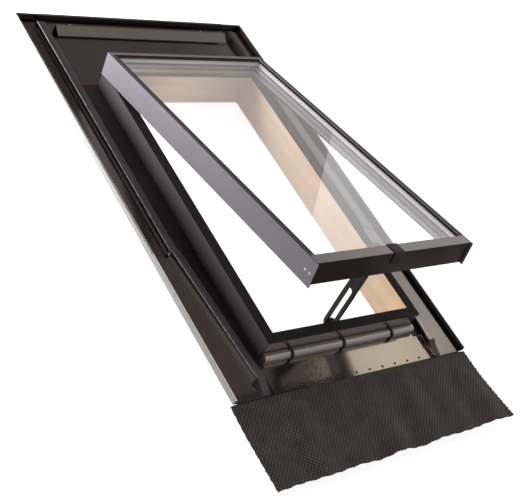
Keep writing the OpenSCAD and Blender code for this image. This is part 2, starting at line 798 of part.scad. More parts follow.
// Two blocks that carry the lower edge of the glass
module setting_blocks() {
    color(BLACK) sash_layer(ledge_top, pane_top) for (side = [-1, 1])
        translate([side * x_sash / 2 - block_len / 2, y_front + rail_wall]) square([block_len, pane_edge - rail_wall]);
}

// Seal under the inner webs, just clear of the frame gasket when shut
module sash_seal() {
    outer = rail_d - web_t - (seal_w - web_t) / 2;
    color(RUBBER) sash_layer(skirt_lap + seal_gap, web_foot) rail_ring(outer, outer + seal_w, outer + seal_w);
}

// Black clip over the front flange, lipped on the glazing gasket
module glass_clip() {
    lip_y = front_flange_w;
    color(BLACK) opened() translate([0, y_front, z_sash]) run_x(-glass_clip_w / 2, glass_clip_w / 2) polygon([
        [-glass_clip_t, sash_h - glass_clip_drop], [0, sash_h - glass_clip_drop], [0, sash_h],
        [lip_y, sash_h], [lip_y, sash_h - rail_wall], [lip_y + 4, sash_h - rail_wall], [lip_y + 3, sash_h],
        [lip_y, sash_h + glass_clip_t], [0, sash_h + glass_clip_t], [-glass_clip_t, sash_h]]);
}

// Stay

module at_peg() {
    translate([0, peg_y, peg_z]) children();
}

module keeper_screw_bores() {
    keeper_screw_set(fixed_gap, 0);
}

// Screws of the keeper: shanks into the sill board, pan heads on the keeper's base
module keeper_screw_set(gap, head_h) {
    for (x = keeper_screw_places) translate([x, y_sill_in - board_t * 0.7, peg_z]) {
        bar_y(keeper_screw_r + gap, board_t * 0.7 + bracket_t);
        if (head_h > 0) translate([0, board_t * 0.7 + bracket_t, 0]) bar_y(1.9 * keeper_screw_r, head_h);
    }
}

// Angle on the sill board: a base, and an ear that carries the peg
module stay_keeper() {
    color(BLACK) difference() {
        union() {
            translate([ear_x, y_sill_in, peg_z - eye_r]) cube([keeper_w, bracket_t, 2 * eye_r]);
            run_x(ear_x, ear_x + bracket_t) {
                translate([y_sill_in, peg_z - eye_r]) square([peg_in, 2 * eye_r]);
                translate([peg_y, peg_z]) circle(eye_r);
            }
        }
        keeper_screw_set(fixed_gap, 0);
        at_peg() translate([ear_x - over, 0, 0]) bar_x(peg_r / 2 + fixed_gap, bracket_t + 2 * over);
    }
}

// Peg with a riveted neck in the ear
module keeper_peg() {
    tip = stay_t / 2 - groove_web + 0.2;
    neck_head = 1.5;
    color(STEEL) at_peg() {
        translate([stay_t / 2 - tip, 0, 0]) bar_x(peg_r, ear_x - stay_t / 2 + tip);
        translate([ear_x, 0, 0]) bar_x(peg_r / 2, bracket_t);
        translate([ear_x + bracket_t, 0, 0]) bar_x(peg_r / 2 + 1.5, neck_head);
    }
}

module keeper_screws() { color(STEEL) keeper_screw_set(0, 1.8); }

module bracket_rivet_places() {
    for (side = [-1, 1])
        translate([side * bracket_rivet_x, y_front + rail_d, z_sash + bracket_low + bracket_h / 2]) children();
}

// Clevis on the front rail: a base on the inner web and two cheeks out to the pivot
module stay_bracket() {
    base_y = y_front + rail_d;
    color(BLACK) opened() difference() {
        union() {
            translate([-bracket_half, base_y, z_sash + bracket_low]) cube([2 * bracket_half, bracket_t, bracket_h]);
            for (x = [-cheek_x - bracket_t, cheek_x]) run_x(x, x + bracket_t) {
                polygon([[base_y, z_sash + bracket_low], [base_y, z_sash + bracket_low + bracket_h],
                    [pivot_y, pivot_z + cheek_eye_r], [pivot_y, pivot_z - cheek_eye_r]]);
                translate([pivot_y, pivot_z]) circle(cheek_eye_r);
            }
        }
        translate([-2 * bracket_half, pivot_y, pivot_z]) bar_x(pivot_r + fixed_gap, 4 * bracket_half);
        bracket_rivet_places() translate([0, -over, 0]) bar_y(rivet_r + fixed_gap, bracket_t + 2 * over);
    }
}

module bracket_rivets() {
    color(STEEL) opened() bracket_rivet_places() translate([0, -web_t, 0]) rivet(web_t + bracket_t);
}

module stay_pin() {
    reach = cheek_x + bracket_t;
    head_h = 1.5;
    color(STEEL) opened() translate([0, pivot_y, pivot_z]) {
        translate([-reach, 0, 0]) bar_x(pivot_r, 2 * reach);
        for (x = [-reach - head_h, reach]) translate([x, 0, 0]) bar_x(pivot_r + 1.5, head_h);
    }
}

// A slot along -Z between two depths below the pivot
module slot_section(high, low) {
    translate([0, -high]) circle(slot_w / 2);
    translate([0, -low]) circle(slot_w / 2);
    translate([-slot_w / 2, -low]) square([slot_w, low - high]);
}

// Stay arm: eye, shank with a blind guide groove on its right face, and the looped, slotted end
module stay_arm() {
    color(BLACK) translate([0, open_y, open_z]) rotate([-stay_lean, 0, 0]) difference() {
        run_x(-stay_t / 2, stay_t / 2) difference() {
            union() {
                circle(arm_eye_r);
                translate([-arm_w / 2, -slot_high]) square([arm_w, slot_high]);
                translate([0, -slot_high]) circle(loop_w / 2);
                translate([-loop_w / 2, -stay_reach]) square([loop_w, stay_reach - slot_high]);
                translate([0, -stay_reach]) circle(loop_w / 2);
            }
            circle(pivot_r + run_gap);
            slot_section(slot_high, stay_reach);
        }
        run_x(-stay_t / 2 + groove_web, stay_t) slot_section(pivot_rise, slot_high);
    }
}

frame_left();
frame_right();
frame_head();
frame_sill();
frame_screws();
frame_gasket();
left_flashing_upper();
right_flashing_upper();
left_flashing_lower();
right_flashing_lower();
head_flashing();
head_bar();
sill_flashing();
sill_bead();
sill_clips();
apron();
apron_rivets();
hinge_frame_leaves();
hinge_screws();
hinge_pins();
stay_keeper();
keeper_peg();
keeper_screws();
sash_left_rail();
sash_right_rail();
sash_head_rail();
sash_front_rail();
corner_cleats();
sash_rivets();
outer_pane();
inner_pane();
spacer_bar();
edge_seal();
glazing_gasket();
bedding_tape();
setting_blocks();
sash_seal();
glass_clip();
hinge_sash_leaves();
hinge_rivets();
stay_bracket();
bracket_rivets();
stay_pin();
stay_arm();
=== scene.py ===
import json
import math

import bpy
from mathutils import Matrix, Vector

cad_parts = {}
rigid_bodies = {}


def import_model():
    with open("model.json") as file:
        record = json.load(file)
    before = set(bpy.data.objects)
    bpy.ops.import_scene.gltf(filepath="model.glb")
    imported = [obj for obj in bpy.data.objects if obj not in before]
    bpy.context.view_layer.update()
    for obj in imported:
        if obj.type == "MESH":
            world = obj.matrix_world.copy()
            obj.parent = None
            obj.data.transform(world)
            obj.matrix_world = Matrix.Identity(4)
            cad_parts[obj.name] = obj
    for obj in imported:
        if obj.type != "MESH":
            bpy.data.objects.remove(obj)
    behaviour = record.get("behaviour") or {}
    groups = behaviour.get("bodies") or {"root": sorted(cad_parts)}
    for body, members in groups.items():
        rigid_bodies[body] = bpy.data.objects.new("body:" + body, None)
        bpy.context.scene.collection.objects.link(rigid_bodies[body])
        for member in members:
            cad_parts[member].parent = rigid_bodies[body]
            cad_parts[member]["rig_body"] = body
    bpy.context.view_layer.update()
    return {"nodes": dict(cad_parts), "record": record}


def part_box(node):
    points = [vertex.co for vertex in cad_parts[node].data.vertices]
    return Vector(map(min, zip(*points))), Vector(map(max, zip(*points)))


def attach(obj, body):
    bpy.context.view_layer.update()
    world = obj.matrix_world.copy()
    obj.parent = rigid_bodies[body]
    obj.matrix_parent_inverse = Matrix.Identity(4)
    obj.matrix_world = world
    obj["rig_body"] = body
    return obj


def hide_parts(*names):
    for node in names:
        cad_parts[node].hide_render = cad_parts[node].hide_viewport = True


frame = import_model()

scene = bpy.context.scene
scene.view_settings.view_transform = "Standard"
nodes_of_cad = frame["nodes"]


# The photograph's width and focal length, in pixels
PHOTO_WIDTH = 525
FOCAL_LENGTH = 1101.5677

# Sizes of the part, in metres, as in its source
SHEET = 0.001
RIB_HEIGHT = 0.014
RIB_FOOT = 0.026
HEM_HEIGHT = 0.012
FRAME_SIDE = 0.225
RIB_MIDDLE = 0.289
RIB_END = -0.4215
CLIP_SPACING = 0.15
SASH_OPENING = math.radians(13)
SASH_UP = Vector((0, math.sin(SASH_OPENING), math.cos(SASH_OPENING)))

# Sizes that only the dressing has, in metres
FOLD_ROUNDING = 0.0019
# Length of the front rail's ends that are painted black as shade
END_SHADE_LENGTH = 0.009
DIMPLE_PITCH = 0.0095
DIMPLE_TURN = 2 * math.pi / DIMPLE_PITCH

# The clips show as thin lines in the photograph, so they are narrowed to this share of their width
CLIP_SHARE = 0.6

# Places of the solids that the dressing goes by
PLATE_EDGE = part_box("sill_flashing")[0].y
PLATE_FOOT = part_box("sill_flashing")[0].z
SIDE_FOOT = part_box("left_flashing_upper")[0].z
HEAD_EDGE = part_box("head_flashing")[1].y
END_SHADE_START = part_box("sash_front_rail")[1].x - END_SHADE_LENGTH

# Limits for merging points, for faces that lie in one plane, and for edges that count as sharp
WELD = 0.00001
SLIVER = 0.000001
FLAT_ANGLE = math.radians(1.5)
EDGE_ANGLE = math.radians(40)
FOLD_ANGLE = math.radians(48)
APRON_ANGLE = math.radians(50)


# Camera at the photograph's place

def set_camera():
    lens = bpy.data.cameras.new("camera")
    lens.sensor_width = 36
    lens.lens = lens.sensor_width * FOCAL_LENGTH / PHOTO_WIDTH
    camera = bpy.data.objects.new("camera", lens)
    scene.collection.objects.link(camera)
    right = Vector((0.7499, -0.47746, 0.4579))
    up = Vector((0.08986, 0.75928, 0.64453))
    back = Vector((-0.65541, -0.44219, 0.61229))
    place = Matrix((right, up, back)).transposed().to_4x4()
    place.translation = Vector((-1.6484, -1.1883, 1.5373))
    camera.matrix_world = place
    scene.camera = camera


# Selecting and shaping

def make_active(piece):
    bpy.ops.object.select_all(action="DESELECT")
    piece.select_set(True)
    bpy.context.view_layer.objects.active = piece


def edit_whole(piece):
    make_active(piece)
    bpy.ops.object.mode_set(mode="EDIT")
    bpy.ops.mesh.select_all(action="SELECT")


def clear_choice(piece, kind):
    make_active(piece)
    bpy.ops.object.mode_set(mode="EDIT")
    bpy.ops.mesh.select_mode(type=kind)
    bpy.ops.mesh.select_all(action="DESELECT")
    bpy.ops.object.mode_set(mode="OBJECT")


def copy_of_node(node):
    source = nodes_of_cad[node]
    piece = bpy.data.objects.new("dressed_" + node, source.data.copy())
    scene.collection.objects.link(piece)
    make_active(piece)
    bpy.ops.mesh.customdata_custom_splitnormals_clear()
    edit_whole(piece)
    bpy.ops.mesh.remove_doubles(threshold=WELD)
    bpy.ops.mesh.dissolve_limited(angle_limit=FLAT_ANGLE)
    bpy.ops.object.mode_set(mode="OBJECT")
    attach(piece, source["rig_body"])
    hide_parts(node)
    return piece


def round_edges(piece, pick, width, segments):
    clear_choice(piece, "EDGE")
    mesh = piece.data
    for edge in mesh.edges:
        first = mesh.vertices[edge.vertices[0]].co
        second = mesh.vertices[edge.vertices[1]].co
        edge.select = pick(first, second)
    bpy.ops.object.mode_set(mode="EDIT")
    bpy.ops.mesh.bevel(offset=width, segments=segments, affect="EDGES")
    bpy.ops.mesh.select_all(action="SELECT")
    bpy.ops.mesh.dissolve_degenerate(threshold=SLIVER)
    bpy.ops.object.mode_set(mode="OBJECT")


def cut_across(piece, place):
    edit_whole(piece)
    bpy.ops.mesh.bisect(plane_co=(place, 0, 0), plane_no=(1, 0, 0))
    bpy.ops.object.mode_set(mode="OBJECT")


def smooth_folds(piece):
    make_active(piece)
    bpy.ops.object.shade_smooth_by_angle(angle=FOLD_ANGLE)
    even = piece.modifiers.new("even_flats", "WEIGHTED_NORMAL")
    even.keep_sharp = True
    bpy.ops.object.modifier_apply(modifier="even_flats")


def soften(piece, width):
    make_active(piece)
    bevel = piece.modifiers.new("soft_edges", "BEVEL")
    bevel.width = width
    bevel.segments = 2
    bevel.limit_method = "ANGLE"
    bevel.angle_limit = EDGE_ANGLE
    bpy.ops.object.modifier_apply(modifier="soft_edges")
    smooth_folds(piece)


def wear(piece, *finishes):
    piece.data.materials.clear()
    for finish in finishes:
        piece.data.materials.append(finish)


def paint_faces(piece, finish, pick):
    piece.data.materials.append(finish)
    painted = len(piece.data.materials) - 1
    for face in piece.data.polygons:
        if pick(face):
            face.material_index = painted


# Shader parts

# Places of the sockets of a colour mix, whose names repeat
MIX_MASK = 0
MIX_FIRST = 6
MIX_SECOND = 7
MIX_COLOUR = 2


def new_group(name, inputs, outputs):
    tree = bpy.data.node_groups.new(name, "ShaderNodeTree")
    for label, value in inputs.items():
        socket = tree.interface.new_socket(label, in_out="INPUT", socket_type="NodeSocketFloat")
        socket.default_value = value
    for label in outputs:
        tree.interface.new_socket(label, in_out="OUTPUT", socket_type="NodeSocketFloat")
    start = tree.nodes.new("NodeGroupInput")
    end = tree.nodes.new("NodeGroupOutput")
    return tree, start, end


def add(tree, kind, **values):
    node = tree.nodes.new(kind)
    for name, value in values.items():
        setattr(node, name, value)
    return node


def join(tree, source, target):
    tree.links.new(source, target)


def feed(tree, value, socket):
    if isinstance(value, (int, float)):
        socket.default_value = value
    else:
        join(tree, value, socket)


def reckon(tree, operation, first, second=0):
    node = add(tree, "ShaderNodeMath", operation=operation)
    feed(tree, first, node.inputs[0])
    feed(tree, second, node.inputs[1])
    return node.outputs[0]


def spread(tree, value, low, high, out_low, out_high):
    node = add(tree, "ShaderNodeMapRange")
    join(tree, value, node.inputs["Value"])
    node.inputs["From Min"].default_value = low
    node.inputs["From Max"].default_value = high
    node.inputs["To Min"].default_value = out_low
    node.inputs["To Max"].default_value = out_high
    return node.outputs["Result"]


def object_place(tree):
    return add(tree, "ShaderNodeTexCoord").outputs["Object"]


def split_place(tree):
    parts = add(tree, "ShaderNodeSeparateXYZ")
    join(tree, object_place(tree), parts.inputs[0])
    return parts.outputs


def turned_place(tree, turn, stretch):
    turned = add(tree, "ShaderNodeMapping")
    turned.inputs["Rotation"].default_value = (0, 0, turn)
    join(tree, object_place(tree), turned.inputs["Vector"])
    stretched = add(tree, "ShaderNodeMapping")
    stretched.inputs["Scale"].default_value = stretch
    stretched.inputs["Location"].default_value = (0.13, 0.04, 0.02)
    join(tree, turned.outputs["Vector"], stretched.inputs["Vector"])
    return stretched.outputs["Vector"]


def noise(tree, place, scale, detail, rough=0.5):
    node = add(tree, "ShaderNodeTexNoise")
    feed(tree, scale, node.inputs["Scale"])
    node.inputs["Detail"].default_value = detail
    node.inputs["Roughness"].default_value = rough
    join(tree, place, node.inputs["Vector"])
    return node.outputs["Fac"]


def make_weather_group():
    inputs = {"Cloud Scale": 6.0, "Speck Scale": 220.0}
    tree, start, end = new_group("weather", inputs, ["Clouds", "Specks", "Dents"])
    place = object_place(tree)
    clouds = noise(tree, place, start.outputs["Cloud Scale"], 5.0, 0.6)
    join(tree, spread(tree, clouds, 0.32, 0.7, 0, 1), end.inputs["Clouds"])
    specks = noise(tree, place, start.outputs["Speck Scale"], 2.0)
    join(tree, spread(tree, specks, 0.62, 0.72, 0, 1), end.inputs["Specks"])
    join(tree, noise(tree, place, 9.0, 1.0), end.inputs["Dents"])
    return tree


def make_grain_group(name, turn):
    tree, start, end = new_group(name, {"Ring Scale": 16.0}, ["Rings", "Fibre", "Knots"])
    place = turned_place(tree, turn, (1, 0.08, 1))
    bend = noise(tree, place, 7.0, 2.0)
    rings = add(tree, "ShaderNodeTexWave", wave_type="BANDS", bands_direction="DIAGONAL")
    rings.inputs["Distortion"].default_value = 5.5
    rings.inputs["Detail"].default_value = 2.0
    rings.inputs["Detail Scale"].default_value = 0.6
    join(tree, start.outputs["Ring Scale"], rings.inputs["Scale"])
    join(tree, place, rings.inputs["Vector"])
    bent_rings = reckon(tree, "MULTIPLY", rings.outputs["Fac"], bend)
    join(tree, spread(tree, bent_rings, 0.15, 0.62, 0, 1), end.inputs["Rings"])
    fine = turned_place(tree, turn, (1, 0.02, 1))
    join(tree, noise(tree, fine, 420.0, 2.0), end.inputs["Fibre"])
    knots = add(tree, "ShaderNodeTexVoronoi")
    knots.inputs["Scale"].default_value = 5.0
    join(tree, turned_place(tree, turn, (1, 0.45, 1)), knots.inputs["Vector"])
    join(tree, spread(tree, knots.outputs["Distance"], 0.03, 0.1, 1, 0), end.inputs["Knots"])
    return tree


def start_material(name, metallic=0.0, roughness=0.5):
    material = bpy.data.materials.new(name)
    material.use_nodes = True
    tree = material.node_tree
    shader = tree.nodes["Principled BSDF"]
    shader.inputs["Metallic"].default_value = metallic
    shader.inputs["Roughness"].default_value = roughness
    return material, tree, shader


def place_group(tree, group, **values):
    node = add(tree, "ShaderNodeGroup", node_tree=group)
    for label, value in values.items():
        node.inputs[label.replace("_", " ")].default_value = value
    return node.outputs


def two_colours(tree, mask, first, second):
    mix = add(tree, "ShaderNodeMix", data_type="RGBA")
    mix.inputs[MIX_FIRST].default_value = (*first, 1)
    mix.inputs[MIX_SECOND].default_value = (*second, 1)
    join(tree, mask, mix.inputs[MIX_MASK])
    return mix.outputs[MIX_COLOUR]


def colour_over(tree, mask, under, colour):
    mix = add(tree, "ShaderNodeMix", data_type="RGBA")
    join(tree, under, mix.inputs[MIX_FIRST])
    mix.inputs[MIX_SECOND].default_value = (*colour, 1)
    join(tree, mask, mix.inputs[MIX_MASK])
    return mix.outputs[MIX_COLOUR]


def bump_from(tree, shader, height, strength, distance):
    bump = add(tree, "ShaderNodeBump")
    bump.inputs["Strength"].default_value = strength
    bump.inputs["Distance"].default_value = distance
    join(tree, height, bump.inputs["Height"])
    join(tree, bump.outputs["Normal"], shader.inputs["Normal"])


# Finishes

weather_group = make_weather_group()


def weathered(name, dark, light, speck, metallic, rough, bump=0.05, gloss=0.5, cloud_scale=6.0):
    material, tree, shader = start_material(name, metallic)
    shader.inputs["Specular IOR Level"].default_value = gloss
    weather = place_group(tree, weather_group, Cloud_Scale=cloud_scale)
    base = two_colours(tree, weather["Clouds"], dark, light)
    speckled = colour_over(tree, weather["Specks"], base, speck)
    join(tree, speckled, shader.inputs["Base Color"])
    join(tree, spread(tree, weather["Clouds"], 0, 1, *rough), shader.inputs["Roughness"])
    bump_from(tree, shader, weather["Dents"], bump, 0.004)
    return material


# The upstand's colour is painted shade: near black by the water channel and lighter at its top,
# between these two heights
SHADE_FROM = 0.043
SHADE_TO = 0.084
SHADE_UNEVEN = 0.003


def upstand_with_painted_shade():
    material, tree, shader = start_material("upstand_shaded_lacquer", 0.7)
    weather = place_group(tree, weather_group, Cloud_Scale=7.0)
    sway = spread(tree, weather["Clouds"], 0, 1, -SHADE_UNEVEN, SHADE_UNEVEN)
    height = reckon(tree, "ADD", split_place(tree)["Z"], sway)
    # Painted shade: the colour darkens from the top of the upstand down to the channel
    lit_share = spread(tree, height, SHADE_FROM, SHADE_TO, 0, 1)
    base = two_colours(tree, lit_share, (0.025, 0.021, 0.022), (0.235, 0.208, 0.217))
    speckled = colour_over(tree, weather["Specks"], base, (0.12, 0.105, 0.11))
    join(tree, speckled, shader.inputs["Base Color"])
    join(tree, spread(tree, lit_share, 0, 1, 0.6, 0.36), shader.inputs["Roughness"])
    return material


def pine(name, group):
    material, tree, shader = start_material(name)
    grain = place_group(tree, group)
    base = two_colours(tree, grain["Rings"], (0.80, 0.61, 0.44), (0.745, 0.545, 0.38))
    knotted = colour_over(tree, grain["Knots"], base, (0.42, 0.24, 0.15))
    join(tree, knotted, shader.inputs["Base Color"])
    join(tree, spread(tree, grain["Rings"], 0, 1, 0.55, 0.42), shader.inputs["Roughness"])
    bump_from(tree, shader, grain["Fibre"], 0.25, 0.0006)
    return material


def dimple_wave(tree, distance):
    return reckon(tree, "COSINE", reckon(tree, "MULTIPLY", distance, DIMPLE_TURN))


def dimpled_rubber():
    material, tree, shader = start_material("dimpled_rubber")
    shader.inputs["Specular IOR Level"].default_value = 0.3
    place = split_place(tree)
    across = dimple_wave(tree, place["X"])
    along = dimple_wave(tree, place["Y"])
    dots = spread(tree, reckon(tree, "MULTIPLY", across, along), 0.35, 0.95, 0, 1)
    weather = place_group(tree, weather_group, Cloud_Scale=26.0, Speck_Scale=160.0)
    base = two_colours(tree, weather["Clouds"], (0.0095, 0.0075, 0.007), (0.024, 0.019, 0.0175))
    fading = spread(tree, weather["Clouds"], 0, 1, 0.35, 0.9)
    painted_glints = reckon(tree, "MULTIPLY", dots, fading)
    # Painted glints: the dimples' tops are coloured lighter, faded at random
    glinted_colour = colour_over(tree, painted_glints, base, (0.13, 0.107, 0.098))
    join(tree, glinted_colour, shader.inputs["Base Color"])
    join(tree, spread(tree, dots, 0, 1, 0.6, 0.34), shader.inputs["Roughness"])
    bump_from(tree, shader, noise(tree, object_place(tree), 500.0, 2.0), 0.15, 0.0005)
    return material


# Light for the boards and mirrored rays pass the panes unbent, and all else meets real glass
def goes_straight(tree):
    path = add(tree, "ShaderNodeLightPath").outputs
    lighting = reckon(tree, "MAXIMUM", path["Is Shadow Ray"], path["Is Diffuse Ray"])
    mirrored = reckon(tree, "GREATER_THAN", path["Is Glossy Ray"], path["Is Transmission Ray"])
    inside = add(tree, "ShaderNodeNewGeometry").outputs["Backfacing"]
    outside = reckon(tree, "SUBTRACT", 1, inside)
    went_in_straight = reckon(tree, "GREATER_THAN", path["Transparent Depth"], 0.5)
    from_outside = reckon(tree, "MAXIMUM", outside, went_in_straight)
    passing = reckon(tree, "MULTIPLY", mirrored, from_outside)
    return reckon(tree, "MAXIMUM", lighting, passing)


def clear_glass():
    material, tree, shader = start_material("clear_glass", roughness=0.0)
    shader.inputs["Transmission Weight"].default_value = 1.0
    shader.inputs["IOR"].default_value = 1.52
    weather = place_group(tree, weather_group, Cloud_Scale=3.0, Speck_Scale=300.0)
    tint = two_colours(tree, weather["Clouds"], (0.985, 0.975, 0.982), (0.995, 0.985, 0.992))
    join(tree, tint, shader.inputs["Base Color"])
    open_way = add(tree, "ShaderNodeBsdfTransparent")
    open_way.inputs["Color"].default_value = (0.95, 0.95, 0.95, 1)
    choose = add(tree, "ShaderNodeMixShader")
    join(tree, goes_straight(tree), choose.inputs[0])
    join(tree, shader.outputs[0], choose.inputs[1])
    join(tree, open_way.outputs[0], choose.inputs[2])
    join(tree, choose.outputs[0], tree.nodes["Material Output"].inputs["Surface"])
    return material


# Studio: a pale floor, soft lamps, and glowing cards that only reflections and the glass see

WORLD_LIGHT = 0.13
FLOOR_GLOW = 0.92
GLOW_BEHIND_GLASS = 0.25
FLOOR_DROP = 0.0005


def seen_directly(tree):
    path = add(tree, "ShaderNodeLightPath").outputs
    seen = reckon(tree, "MAXIMUM", path["Is Camera Ray"], path["Is Glossy Ray"])
    return reckon(tree, "MAXIMUM", seen, path["Is Transmission Ray"])


def glowing(name, colour):
    material, tree, shader = start_material(name, roughness=1.0)
    shader.inputs["Base Color"].default_value = (0, 0, 0, 1)
    shader.inputs["Specular IOR Level"].default_value = 0.0
    shader.inputs["Emission Color"].default_value = (*colour, 1)
    shader.inputs["Emission Strength"].default_value = 1.0
    material.cycles.emission_sampling = "FRONT" if max(colour) > 1 else "NONE"
    return material


def set_card(name, place, facing, width, height, colour, through_glass=True):
    bpy.ops.object.select_all(action="DESELECT")
    bpy.ops.mesh.primitive_plane_add(size=1.0)
    card = bpy.context.object
    card.name = name
    card.scale = (width, height, 1)
    card.rotation_euler = Vector(facing).to_track_quat("Z", "Y").to_euler()
    card.location = place
    card.visible_camera = False
    card.visible_diffuse = False
    card.visible_shadow = False
    card.visible_transmission = through_glass
    wear(card, glowing(name, colour))


def set_lamp(name, place, aim, size, power):
    lamp = bpy.data.lights.new(name, "AREA")
    lamp.size = size
    lamp.energy = power
    light = bpy.data.objects.new(name, lamp)
    light.location = place
    light.rotation_euler = (Vector(aim) - Vector(place)).to_track_quat("-Z", "Y").to_euler()
    light.visible_camera = False
    light.visible_glossy = False
    light.visible_transmission = False
    scene.collection.objects.link(light)


def set_world():
    world = bpy.data.worlds.new("studio")
    scene.world = world
    world.use_nodes = True
    tree = world.node_tree
    back = tree.nodes["Background"]
    back.inputs["Color"].default_value = (1, 1, 1, 1)
    strength = spread(tree, seen_directly(tree), 0, 1, WORLD_LIGHT, 1.0)
    join(tree, strength, back.inputs["Strength"])


def set_floor():
    bpy.ops.object.select_all(action="DESELECT")
    bpy.ops.mesh.primitive_plane_add(size=14, location=(0, 0, -FLOOR_DROP))
    floor = bpy.context.object
    floor.name = "floor"
    material, tree, shader = start_material("pale_floor", roughness=1.0)
    shader.inputs["Base Color"].default_value = (0.32, 0.32, 0.32, 1)
    shader.inputs["Specular IOR Level"].default_value = 0.0
    shader.inputs["Emission Color"].default_value = (1, 1, 1, 1)
    through = add(tree, "ShaderNodeLightPath").outputs["Is Transmission Ray"]
    glow = spread(tree, seen_directly(tree), 0, 1, 0, FLOOR_GLOW)
    more = spread(tree, through, 0, 1, 0, GLOW_BEHIND_GLASS)
    join(tree, reckon(tree, "ADD", glow, more), shader.inputs["Emission Strength"])
    wear(floor, material)


def set_studio():
    set_world()
    set_floor()
    set_card("low_card", (1.0, -1.71, 0.012), (0, 0, 1), 3.2, 2.1,
             (0.06, 0.046, 0.042), through_glass=False)
    set_card("high_card", (-3.39, 9.19, 11.9), (-0.259, -0.966, 0), 22.7, 15.0,
             (0.126, 0.105, 0.104))
    set_card("veil_card", (-0.78, 8.49, 2.2), (-0.259, -0.966, 0), 16.0, 4.4,
             (0.56, 0.54, 0.53))
    set_card("corner_card", (7.4, 3.77, 10.75), (-0.891, -0.454, 0), 4.1, 9.1,
             (0.26, 0.215, 0.205))
    set_card("cream_card", (2.982, 0.821, 2.519), (-0.728, -0.302, -0.616), 0.5, 0.5,
             (2.0, 1.89, 1.53))
    set_lamp("left_light", (-0.66, 1.02, 0.46), aim=(0, 0, 0.1), size=0.5, power=36)
    set_lamp("top_light", (0.2, 0.0, 3.2), aim=(0, 0, 0.1), size=2.4, power=58)
    set_lamp("room_light", (-0.03, 0.24, 0.055), aim=(0.1, 0.42, 0.13), size=0.1, power=0.125)


# Pieces copied from their solids: where their second finish goes, which is painted shade on all but
# the side rails' tops

# Painted shade: the front rail's ends are coloured near black
def is_rail_end(face):
    return abs(face.center.x) > END_SHADE_START and face.normal.dot(SASH_UP) < 0.5


# The side rails' fronts, turned from the light, are painted black as shade; their tops are black
# too
def is_rail_top_or_front(face):
    return face.normal.dot(SASH_UP) > 0.9 or face.normal.y < -0.5


# The sill's front-facing upstand faces take the bead's lacquer as painted shade
def is_sill_upstand(face):
    return face.normal.y < -0.7 and face.center.z > PLATE_FOOT + 0.004


# Painted shade: the inner face of the head's upturned hem is coloured near black
def is_head_hem(face):
    return face.center.y > HEAD_EDGE - 0.008 and face.center.z > SIDE_FOOT + 0.006


def narrow_clips(piece):
    for vertex in piece.data.vertices:
        middle = round(vertex.co.x / CLIP_SPACING) * CLIP_SPACING
        vertex.co.x = middle + CLIP_SHARE * (vertex.co.x - middle)


def dress_node(node, rounding):
    piece = copy_of_node(node)
    if node == "sill_clips":
        narrow_clips(piece)
    if node == "sash_front_rail":
        cut_across(piece, END_SHADE_START)
        cut_across(piece, -END_SHADE_START)
    soften(piece, rounding)
    wear(piece, OWN_FINISH.get(node, FINISH[SLOT[node]]))
    if node in SECOND_FINISH:
        finish, pick = SECOND_FINISH[node]
        paint_faces(piece, finish, pick)


# Side flashings: rounded folds, and a colour of its own for each bend of the sheet, most of them
# painted shade, with a painted highlight on the left rib's edges

PLAIN, HEM_FACES, RIB_TOP, CHANNEL, UPSTAND, EDGE_HIGHLIGHT = range(6)

# How far the bends reach, in metres, from the outer edge, the rib's top or the frame's side
HEM_BAND = 0.007
RIB_EDGE_BAND = 0.003
UPSTAND_BAND = 0.003
CHANNEL_BAND = 0.043
FOLD_LENGTH = 0.1
SAME_HEIGHT = 0.0001


def fold_line(foot):
    def pick(first, second):
        long = (first - second).length > FOLD_LENGTH
        level = abs(first.z - second.z) < SAME_HEIGHT
        at_rib = abs(first.z - foot - RIB_HEIGHT) < SAME_HEIGHT
        at_hem = abs(first.z - foot - HEM_HEIGHT) < SAME_HEIGHT
        return long and level and (at_rib or at_hem)
    return pick


def bend_of(face, side, edge, foot):
    out = side * face.center.x
    high = face.center.z - foot
    leans_out = side * face.normal.x
    faces_up = face.normal.z > 0.9
    slants_up = 0.25 < face.normal.z < 0.97
    cut_end = abs(face.normal.y) > 0.7
    at_hem = out > edge - HEM_BAND and high > SHEET
    hem_outside = out > edge - 0.0005 and leans_out > 0.3
    hem_top = at_hem and high > HEM_HEIGHT - 0.0004
    upstand = out < FRAME_SIDE + UPSTAND_BAND and leans_out > 0.9
    rib_top = faces_up and abs(high - RIB_HEIGHT) < 0.0006
    rib_edge = slants_up and high > RIB_HEIGHT - RIB_EDGE_BAND and not at_hem
    channel = faces_up and high < 1.5 * SHEET and out < FRAME_SIDE + CHANNEL_BAND
    in_rib = SHEET < high < RIB_HEIGHT and out > FRAME_SIDE + 0.005 and not at_hem
    rib_inside = leans_out < -0.8 and in_rib
    # Hem faces: on the left the sheet's pale back; on the right the inner face is painted black as
    # shade
    if side < 0 and (hem_outside or hem_top) or side > 0 and at_hem:
        return HEM_FACES
    # The upstand takes the lacquer whose colour is painted shade towards the channel
    if upstand:
        return UPSTAND
    # The left rib's top takes a darker copy of the lacquer: painted shade
    if side < 0 and rib_top:
        return RIB_TOP
    # The left rib's rounded edges take light dashes: painted highlight
    if side < 0 and rib_edge:
        return EDGE_HIGHLIGHT
    # The channel, the rib's inner walls and the cut ends are coloured near black: painted shade
    if channel or rib_inside or cut_end:
        return CHANNEL
    return PLAIN


